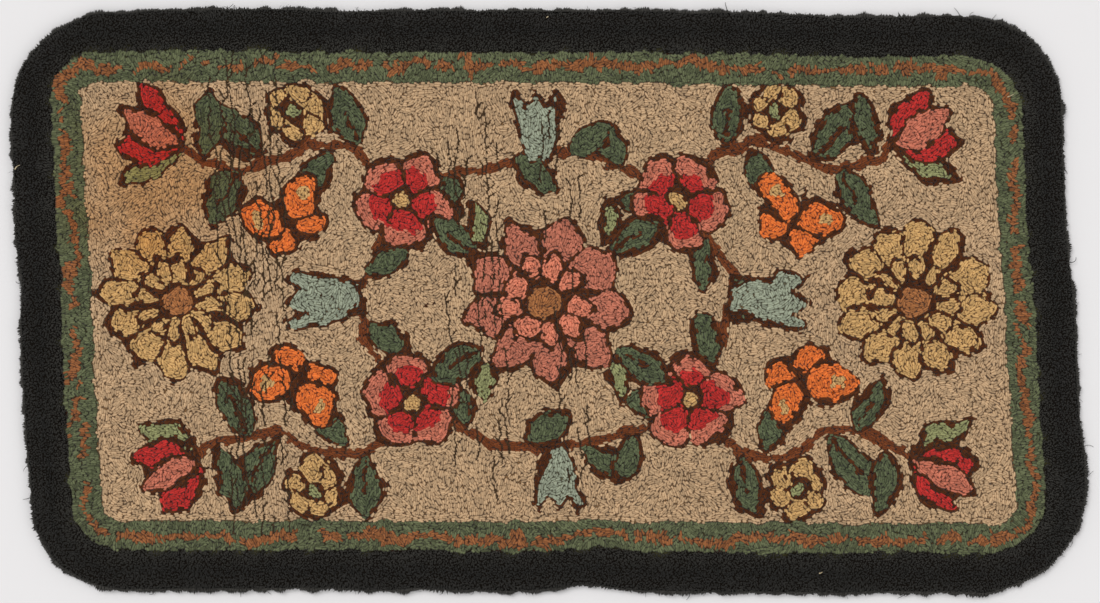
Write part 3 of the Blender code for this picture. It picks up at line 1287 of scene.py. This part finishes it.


# The bare foundation at the bottom of the openings, darkened with painted shade, as three-sided strips that
# follow them
def buildOpeningShade():
    points, faces = [], []
    drop, half, depth = crackOpening["floor"]
    for line in openings:
        places = line[:: crackOpening["floorStep"]]
        # No opening goes on under the pile of the border
        inset = coarse.read(insets, places[:, 0], places[:, 1])
        places = places[inset > rugPlan["borderWidth"] + crackOpening["borderGap"]]
        if len(places) < 2:
            continue
        first, count = len(points), len(places)
        heights = coarse.read(tops, places[:, 0], places[:, 1]) - drop
        for (x, y), height in zip(places, heights):
            points += [(x - half, y, height), (x + half, y, height), (x, y, height - depth)]
        addStrip(faces, first, count)
    return buildPiece("openings_painted_shade", np.array(points), [np.array(faces)], smooth=False)


# A plain finish that drifts between two colours
def mottledMaterial(name, roughness, shine, pitch, detail, colours):
    finish = Finish(name, roughness, shine)
    finish.colour(finish.ramp(finish.noise(pitch, detail), list(zip((0.3, 0.7), colours))))
    return finish.material


# Near-black colours of the strips in the openings: the foundation there, darkened by painted shade
openingShadeColours = [(0.035, 0.021, 0.011), (0.080, 0.048, 0.024)]
burlap = {
    "thread": 2.1 * mm,
    "waver": 1.6,
    "dark": (0.10, 0.066, 0.034),
    "pale": (0.36, 0.26, 0.15),
    "stitch": 4.2 * mm,                 # the backs of the loops
    "shade": (0.50, 0.41, 0.31),        # painted shade of the top, between the loops
    "topFrom": 0.6 * mm,
}


# Burlap with the backs of the loops on its underside, and painted shade between the loops on top
def foundationMaterial():
    cloth = Finish("foundationCloth", roughness=0.95, shine=0.1)
    yarn = cloth.add("Attribute", attribute_name="yarn")["Color"]
    wave = {
        "Vector": cloth.places,
        "Scale": 0.314 / burlap["thread"],      # at scale 1 the bands are 0.314 apart
        "Distortion": burlap["waver"],
        "Detail": 2.0,
    }
    threads = [cloth.add("TexWave", wave, wave_type="BANDS", bands_direction=way)["Fac"] for way in "XY"]
    weave = cloth.ramp(cloth.math("MULTIPLY", *threads), [(0.0, burlap["dark"]), (0.7, burlap["pale"])])
    cells = {"Vector": cloth.places, "Scale": 1 / burlap["stitch"]}
    stitches = cloth.add("TexVoronoi", cells, feature="DISTANCE_TO_EDGE")["Distance"]
    backs = cloth.ramp(stitches, [(0.05, (0, 0, 0)), (0.16, (1, 1, 1))])
    under = cloth.mix("MIX", backs, weave, yarn)
    # The top: each yarn's colour darkened as painted shade
    over = cloth.mix("MULTIPLY", 1.0, yarn, (*burlap["shade"], 1))
    height = cloth.add("SeparateXYZ", {"Vector": cloth.places})["Z"]
    isTop = cloth.math("GREATER_THAN", height, burlap["topFrom"])
    cloth.colour(cloth.mix("MIX", isTop, under, over))
    cloth.bump(backs, 0.7, 0.8 * mm)
    return cloth.material


cloth = finishPiece(buildFoundation(), foundationMaterial())
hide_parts("hooked_rug")
openingShadeMaterial = mottledMaterial("openingsPaintedShade", 0.95, 0.05, 3 * mm, 3.0, openingShadeColours)
pieces.append(finishPiece(buildOpeningShade(), openingShadeMaterial))
print("the foundation cloth is made", flush=True)


# The border: cut pile, close and fuzzy, combed a little outwards at the edge

pile = {
    "pitch": 2.4 * mm,
    "rowStep": 0.87,                # of the pitch
    "jitter": 0.45,                 # of the pitch
    "radius": 1.9 * mm,
    "radiusSpread": (0.8, 1.2),
    "outermost": 1.6 * mm,          # no tuft stands nearer to the edge
    "loopGap": 0.4 * mm,
    "root": 3.4 * mm,               # how deep the tufts start
    "lowestRoot": 2 * mm,
    "reach": 1.1 * mm,              # how far the tips stand over the solid's height
    "reachSpread": (0.35, 0.5),     # the middle and the spread, as shares of the reach
    "lean": 0.42,
    "leanShares": (0.6, 0.7),       # what neighbours share, and what each tuft has alone
    "swirl": 24 * mm,
    "combed": (16 * mm, 2.6 * mm, 0.2 * mm),    # how far in, and the outward lean at the edge and there
    "smoothing": 5 * mm,            # of the slope that the tufts are combed down
    "lowestPoint": 0.25 * mm,
}
rimPile = {
    "pitch": 1.7 * mm,
    "rows": 5,
    "lowest": 1.4 * mm,
    "rise": 8.0 * mm,
    "rootInset": 2.8 * mm,
    "radius": 1.55 * mm,
    "radiusSpread": (0.8, 1.3),
    "reach": -0.8 * mm,             # past the outline, before what follows
    "bulge": 1.6 * mm,
    "bulgeAt": (5.5 * mm, 6.5 * mm),    # its height, and how far above and below it ends
    "clumps": 4.2 * mm,
    "reachSpread": 0.35 * mm,
    "sway": 0.7 * mm,
    "heightSpread": 0.8 * mm,
    "lowestTip": 0.4 * mm,
}


def tuftPattern():
    deselect()
    bpy.ops.mesh.primitive_cone_add(vertices=3, radius1=1.0, radius2=0.0, depth=1.0, location=(0, 0, 0.5))
    points, triangles = takenApart(bpy.context.object, [3])
    return points + np.array([0, 0, 0.5]), triangles


tuftPoints, tuftTriangles = tuftPattern()


# Tapered tufts from their roots to their tips as one mesh
def buildTufts(name, roots, tips, radii, insetsHere):
    count = len(roots)
    axis = tips - roots
    axis /= np.linalg.norm(axis, axis=1, keepdims=True)
    side = np.cross(axis, np.array([0.31, 0.89, 0.33]))
    side /= np.linalg.norm(side, axis=1, keepdims=True)
    other = np.cross(axis, side)
    spin = chance.uniform(0, 2 * math.pi, count)[:, None]
    first = side * np.cos(spin) + other * np.sin(spin)
    second = np.cross(axis, first)
    local = tuftPoints[None]
    places = (
        roots[:, None]
        + (tips - roots)[:, None] * local[..., 2:3]
        + first[:, None] * local[..., 0:1] * radii[:, None, None]
        + second[:, None] * local[..., 1:2] * radii[:, None, None]
    )
    points = places.reshape(-1, 3)
    points[:, 2] = np.maximum(points[:, 2], pile["lowestPoint"])
    firsts = (np.arange(count) * len(tuftPoints))[:, None, None]
    return buildPiece(
        name,
        points,
        [(tuftTriangles[None] + firsts).reshape(-1, 3)],
        tone=np.repeat(chance.random(count), len(tuftPoints)),
        inset=np.repeat(insetsHere / rugPlan["borderWidth"], len(tuftPoints)),
    )


# Roots and tips over the border's crown
def pileTufts():
    low, high = fine.low, fine.low + np.array(fine.shape[::-1]) * fine.step
    pitch = pile["pitch"]
    x, y = np.meshgrid(np.arange(low[0], high[0], pitch), np.arange(low[1], high[1], pitch * pile["rowStep"]))
    x[1::2] += pitch / 2
    jitter = pile["jitter"]
    x, y = ((side + chance.uniform(-jitter, jitter, side.shape) * pitch).ravel() for side in (x, y))
    inset = coarse.read(insets, x, y)
    stop = rugPlan["borderWidth"] + fine.read(borderRagged, x, y) - pile["loopGap"]
    held = (inset > pile["outermost"]) & (inset < stop)
    x, y, inset = x[held], y[held], inset[held]
    across, down, steep = coarse.slopes(insets, pile["smoothing"])
    outwards = [coarse.read(-slope / steep, x, y) for slope in (across, down)]
    width, atEdge, inside = pile["combed"]
    combed = between(inset, 0, width, atEdge, inside)
    swirl = [coarse.read(coarse.unevenness(pile["swirl"], layer), x, y) for layer in (31, 32)]
    height = coarse.read(tops, x, y)
    roots = np.stack([x, y, np.maximum(height - pile["root"], pile["lowestRoot"])], 1)
    lean = pile["lean"] * pile["root"]
    shared, own = pile["leanShares"]
    middle, spread = pile["reachSpread"]
    tips = np.stack(
        [
            x + outwards[0] * combed + lean * (shared * swirl[0] + own * chance.normal(size=len(x))),
            y + outwards[1] * combed + lean * (shared * swirl[1] + own * chance.normal(size=len(x))),
            height + pile["reach"] * (middle + spread * chance.normal(size=len(x))),
        ],
        1,
    )
    return roots, tips, inset


# How far one spot along a row of the edge stands out with its neighbours
def clumped(spot, row):
    return (
        noise.noise((spot / 0.011, row * 0.12, 3.5))
        + 0.7 * noise.noise((spot / 0.034, 8.5, row * 0.1))
        + 0.5 * noise.noise((spot / 0.0052, row * 0.15, 6.5))
    )


# Tufts that stand out sideways all round the edge, uneven and in clumps
def rimTufts():
    inner = planRing(rimPile["rootInset"]) + planShift
    rings = [np.vstack([ring, ring[:1]]) for ring in (inner, outline)]
    runs = np.concatenate([[0], np.cumsum(np.hypot(*np.diff(rings[0], axis=0).T))])
    pitch = rimPile["pitch"]
    roots, tips = [], []
    for row in range(rimPile["rows"]):
        at = np.arange(0, runs[-1], pitch) + chance.uniform(0, pitch)
        count = len(at)
        at = (at + chance.uniform(-0.5, 0.5, count) * pitch) % runs[-1]
        root, edge = (
            np.stack([np.interp(at, runs, ring[:, axis]) for axis in range(2)], 1) for ring in rings
        )
        outwards = edge - root
        outwards /= np.linalg.norm(outwards, axis=1, keepdims=True)
        level = rimPile["lowest"] + (row + 0.5) / rimPile["rows"] * rimPile["rise"]
        bulge = 1 - ((level - rimPile["bulgeAt"][0]) / rimPile["bulgeAt"][1]) ** 2
        reach = rimPile["reach"] + rimPile["bulge"] * bulge
        reach += rimPile["clumps"] * np.array([clumped(spot, row) for spot in at])
        reach += rimPile["reachSpread"] * chance.normal(size=count)
        sway = np.stack([-outwards[:, 1], outwards[:, 0]], 1)
        sway *= rimPile["sway"] * chance.normal(size=(count, 1))
        height = level + rimPile["heightSpread"] * chance.normal(size=count)
        roots.append(np.column_stack([root, np.full(count, level)]))
        tip = edge + outwards * reach[:, None] + sway
        tips.append(np.column_stack([tip, np.maximum(height, rimPile["lowestTip"])]))
    return np.concatenate(roots), np.concatenate(tips)


blackColours = {
    "tones": [(0.0, (0.026, 0.0255, 0.023)), (0.5, (0.032, 0.031, 0.0285)), (1.0, (0.038, 0.037, 0.034))],
    # The pile is paler at its outer edge and beside the loops, and darkest in between
    "edgePaleness": [
        (0.0, (1.8, 1.75, 1.7)),
        (0.14, (1.15, 1.12, 1.1)),
        (0.5, (0.9, 0.9, 0.9)),
        (1.0, (1.5, 1.45, 1.35)),
    ],
}


def pileMaterial():
    fuzz = Finish("blackPile", roughness=0.95, shine=0.08, sheen=(0.04, 0.6))
    lift = fuzz.math("MULTIPLY_ADD", fuzz.noise(30 * mm, 4.0), 0.6, -0.3)
    lift = fuzz.math("ADD", lift, fuzz.value("tone"))
    colour = fuzz.ramp(lift, blackColours["tones"])
    # Paler towards the outer edge and beside the loops
    edgePaleness = fuzz.ramp(fuzz.value("inset"), blackColours["edgePaleness"])
    fuzz.colour(fuzz.mix("MULTIPLY", 1.0, colour, edgePaleness))
    return fuzz.material


# Loose fibres round the edge, and bits of pale lint that lie on the pile and the loops

thread = {"segments": 8, "taper": 0.6, "lowest": 0.2 * mm}
fibres = {
    "count": 180,
    "longEvery": 9,
    "fan": 1.1,                     # how far a fibre turns from straight out
    "rootInset": 2.5 * mm,
    # lengths, heights and thicknesses in millimetres
    "long": {"length": (11, 19), "curl": 0.32, "thickness": (0.42, 0.62)},
    "short": {"length": (4, 10), "curl": 0.5, "thickness": (0.20, 0.38)},
    "height": (2, 9),
    "droop": 0.3,                   # the share of its height at which a fibre ends
    "lowestEnd": 0.35 * mm,
}
paleBits = {
    # x, y, heading, curl and length of each bit of lint
    "places": [
        (-0.6149, 0.1515, 1.20, -0.16, 9.5 * mm),
        (0.5290, 0.2352, 0.34, 0.02, 9 * mm),
        (0.3115, -0.3136, 0.10, 0.10, 5 * mm),
        (-0.0025, 0.3264, 0.60, 0.00, 3.2 * mm),
    ],
    "lift": 1.6 * mm,
    "thickness": 0.95 * mm,
    "colours": [linear((178, 156, 116)), linear((226, 210, 174))],
}


# A curved three-sided thread from a place on the rug. It falls from its first height to its last
def addThread(points, faces, at, heading, curl, length, heights, thickness):
    segments = thread["segments"]
    first = len(points)
    for segment in range(segments):
        share = segment / (segments - 1)
        size = thickness * (1 - thread["taper"] * share)
        across = np.array([-math.sin(heading), math.cos(heading)])
        z = heights[0] + (heights[1] - heights[0]) * share**2
        for side, lift in ((-0.9, -0.5), (0.9, -0.5), (0.0, 1.0)):
            points.append((*(at + across * side * size), max(z + lift * size, thread["lowest"])))
        at = at + length / segments * np.array([math.cos(heading), math.sin(heading)])
        heading += curl
    addStrip(faces, first, segments)


# Many short fibres, and a few long ones
def strayFibres():
    points, faces = [], []
    for number in range(fibres["count"]):
        start = dice.randrange(len(outline))
        step = outline[(start + 1) % len(outline)] - outline[start - 1]
        outwards = np.array([step[1], -step[0]]) / np.hypot(*step)
        heading = math.atan2(outwards[1], outwards[0]) + dice.uniform(-fibres["fan"], fibres["fan"])
        kind = fibres["short" if number % fibres["longEvery"] else "long"]
        length = dice.uniform(*kind["length"]) * mm
        curl = dice.uniform(-kind["curl"], kind["curl"])
        height = dice.uniform(*fibres["height"]) * mm
        heights = (height, height * fibres["droop"] + fibres["lowestEnd"])
        thickness = dice.uniform(*kind["thickness"]) * mm
        at = outline[start] - fibres["rootInset"] * outwards
        addThread(points, faces, at, heading, curl, length, heights, thickness)
    values = {"tone": np.full(len(points), 0.6), "inset": np.full(len(points), 0.5)}
    return buildPiece("stray_fibres", np.array(points), [np.array(faces)], **values)


def paleLint():
    points, faces = [], []
    for x, y, heading, curl, length in paleBits["places"]:
        height = float(coarse.read(tops, x, y)) + paleBits["lift"]
        at = np.array([x, y])
        addThread(points, faces, at, heading, curl, length, (height, height), paleBits["thickness"])
    return buildPiece("pale_lint", np.array(points), [np.array(faces)])


blackPile = pileMaterial()
crownRoots, crownTips, crownInsets = pileTufts()
crownRadii = pile["radius"] * chance.uniform(*pile["radiusSpread"], len(crownRoots))
crown = buildTufts("border_pile", crownRoots, crownTips, crownRadii, crownInsets)
rimRoots, rimTips = rimTufts()
rimRadii = rimPile["radius"] * chance.uniform(*rimPile["radiusSpread"], len(rimRoots))
rim = buildTufts("border_rim", rimRoots, rimTips, rimRadii, np.zeros(len(rimRoots)))
pieces += [finishPiece(piece, blackPile) for piece in (crown, rim, strayFibres())]
lintMaterial = mottledMaterial("paleLint", 0.9, 0.5, 2 * mm, 2.0, paleBits["colours"])
pieces.append(finishPiece(paleLint(), lintMaterial))
print(len(crownRoots), "tufts of pile and", len(rimRoots), "at the edge", flush=True)


# A pale floor, soft light and the camera straight above

studio = {
    "scale": 1.153 * mm,            # metres to a pixel of the photograph
    "scaleHeight": 10 * mm,         # where the scale holds
    "frameWidth": 1100,
    "centre": (1.43, 0.45),         # pixels from the rug's middle to the frame's
    "lens": 100,
    "sensor": 36,
    "floor": (0.845, 0.83, 0.832),
    "floorSize": 40,
    "floorDrop": 0.2 * mm,
    # name, softness in degrees, strength and place of each light
    "lights": [("key", 32, 1.36, (-1.0, 1.05, 2.75)), ("fill", 50, 0.38, (2.2, -1.2, 2.4))],
    "sky": 0.52,
}


def buildFloor():
    deselect()
    bpy.ops.mesh.primitive_plane_add(size=studio["floorSize"], location=(0, 0, -studio["floorDrop"]))
    floor = bpy.context.object
    floor.name = "floor"
    paper = Finish("floorPaper", roughness=0.9, shine=0.1)
    paper.colour((*studio["floor"], 1))
    floor.data.materials.append(paper.material)


# A broad, far light, so that the floor is lit evenly
def addLight(name, softness, power, at):
    deselect()
    bpy.ops.object.light_add(type="SUN", location=at)
    lamp = bpy.context.object
    lamp.name = name
    lamp.data.angle = math.radians(softness)
    lamp.data.energy = power
    lamp.rotation_euler = (-Vector(at)).to_track_quat("-Z", "Y").to_euler()


def addCamera():
    width = studio["frameWidth"] * studio["scale"]
    height = width * studio["lens"] / studio["sensor"] + studio["scaleHeight"]
    x, y = studio["centre"][0] * studio["scale"], -studio["centre"][1] * studio["scale"]
    deselect()
    bpy.ops.object.camera_add(location=(x, y, height), rotation=(0, 0, 0))
    camera = bpy.context.object
    camera.data.lens = studio["lens"]
    camera.data.sensor_width = studio["sensor"]
    camera.data.clip_end = 60
    bpy.context.scene.camera = camera


def addSky():
    world = bpy.data.worlds.new("studio")
    world.use_nodes = True
    background = world.node_tree.nodes["Background"].inputs
    background["Color"].default_value = (1, 1, 1, 1)
    background["Strength"].default_value = studio["sky"]
    bpy.context.scene.world = world


buildFloor()
for light in studio["lights"]:
    addLight(*light)
addCamera()
addSky()
bpy.context.scene.view_settings.view_transform = "Standard"
print("the studio is set", flush=True)
